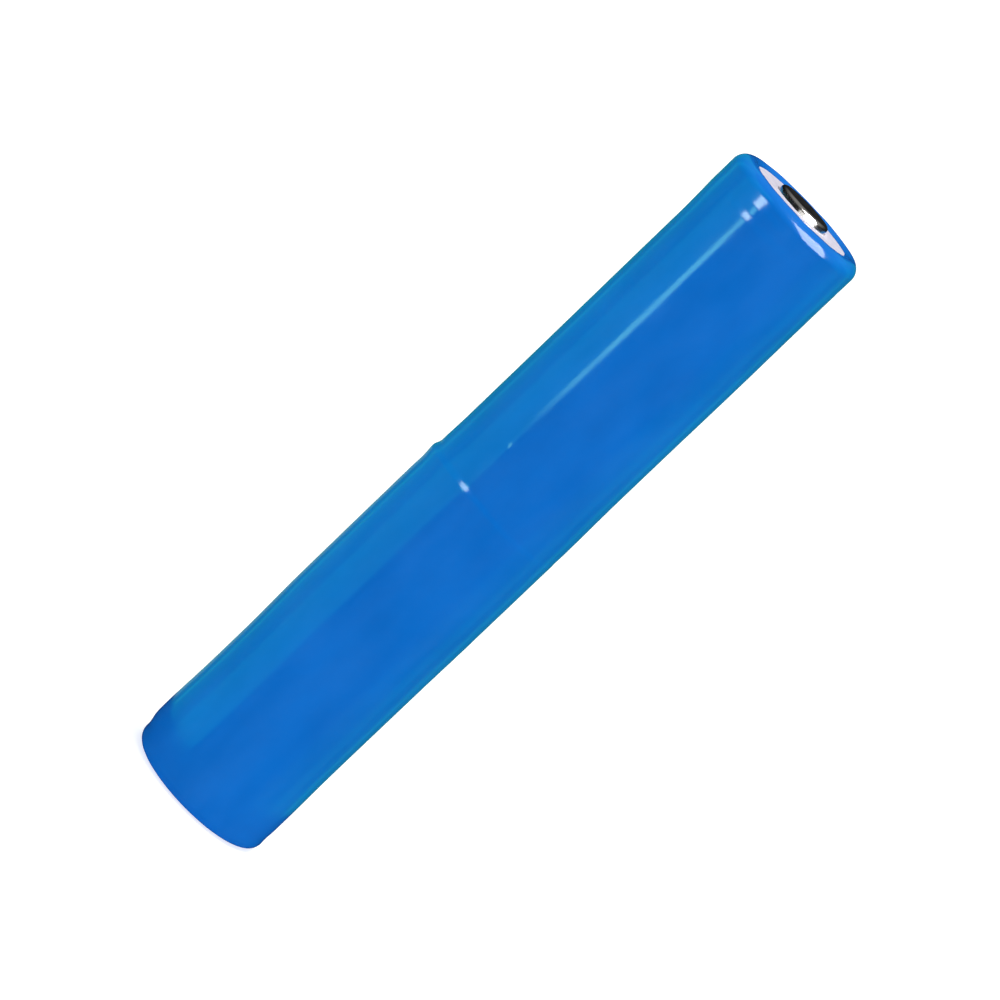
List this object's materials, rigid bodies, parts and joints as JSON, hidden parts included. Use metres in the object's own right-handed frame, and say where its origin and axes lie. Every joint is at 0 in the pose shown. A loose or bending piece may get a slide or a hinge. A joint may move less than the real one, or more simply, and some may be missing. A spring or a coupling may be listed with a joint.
{
  "type": "two-cell battery stick",
  "caption": "Long cylindrical battery in a glossy blue heat-shrink sleeve: lithium cells end to end, with a flat metal button in a white ring at the positive end.",
  "frame": {"origin": "centre of the sleeve's bottom lip, at the negative end, which the stick stands on", "axes": "+Z along the cells' axis, from the negative end to the positive button; +X is where the positive tabs leave the rolls"},
  "size_m": [0.0262, 0.0262, 0.1364],
  "materials": {
    "blue_sleeve": "glossy shrunk PVC film",
    "white_fibre": "smooth fish paper",
    "nickel_plated_can": "nickel plated, deep drawn",
    "nickel_plated_cap": "bright nickel plate",
    "nickel_strip": "rolled nickel",
    "steel_pin": "bare rolled steel",
    "aluminium_disc": "stamped, satin",
    "aluminium_foil": "bright foil",
    "ptc_polymer": "carbon-filled polymer between nickel foils",
    "gasket_polymer": "moulded, satin",
    "moulded_polymer": "moulded, satin",
    "insulator_sheet": "punched sheet",
    "separator_film": "microporous film",
    "cathode_coating": "matt coating on aluminium foil",
    "graphite_coating": "matt coating on copper foil"
  },
  "bodies": {
    "root": {"lower_can": "nickel_plated_can", "upper_can": "nickel_plated_can", "lower_crimp_gasket": "gasket_polymer", "upper_crimp_gasket": "gasket_polymer", "lower_positive_cap": "nickel_plated_cap", "upper_positive_cap": "nickel_plated_cap", "lower_ptc_ring": "ptc_polymer", "upper_ptc_ring": "ptc_polymer", "lower_vent_disc": "aluminium_disc", "upper_vent_disc": "aluminium_disc", "lower_cid_ring": "moulded_polymer", "upper_cid_ring": "moulded_polymer", "lower_weld_plate": "aluminium_disc", "upper_weld_plate": "aluminium_disc", "lower_insulating_ring": "white_fibre", "upper_insulating_ring": "white_fibre", "lower_positive_electrode": "cathode_coating", "upper_positive_electrode": "cathode_coating", "lower_inner_separator": "separator_film", "upper_inner_separator": "separator_film", "lower_negative_electrode": "graphite_coating", "upper_negative_electrode": "graphite_coating", "lower_outer_separator": "separator_film", "upper_outer_separator": "separator_film", "lower_centre_pin": "steel_pin", "upper_centre_pin": "steel_pin", "lower_positive_tab": "aluminium_foil", "upper_positive_tab": "aluminium_foil", "lower_negative_tab": "nickel_strip", "upper_negative_tab": "nickel_strip", "lower_bottom_insulator": "insulator_sheet", "upper_bottom_insulator": "insulator_sheet", "lower_top_insulator": "insulator_sheet", "upper_top_insulator": "insulator_sheet", "connector_strip": "nickel_strip", "shrink_sleeve": "blue_sleeve"}
  },
  "joints": []
}
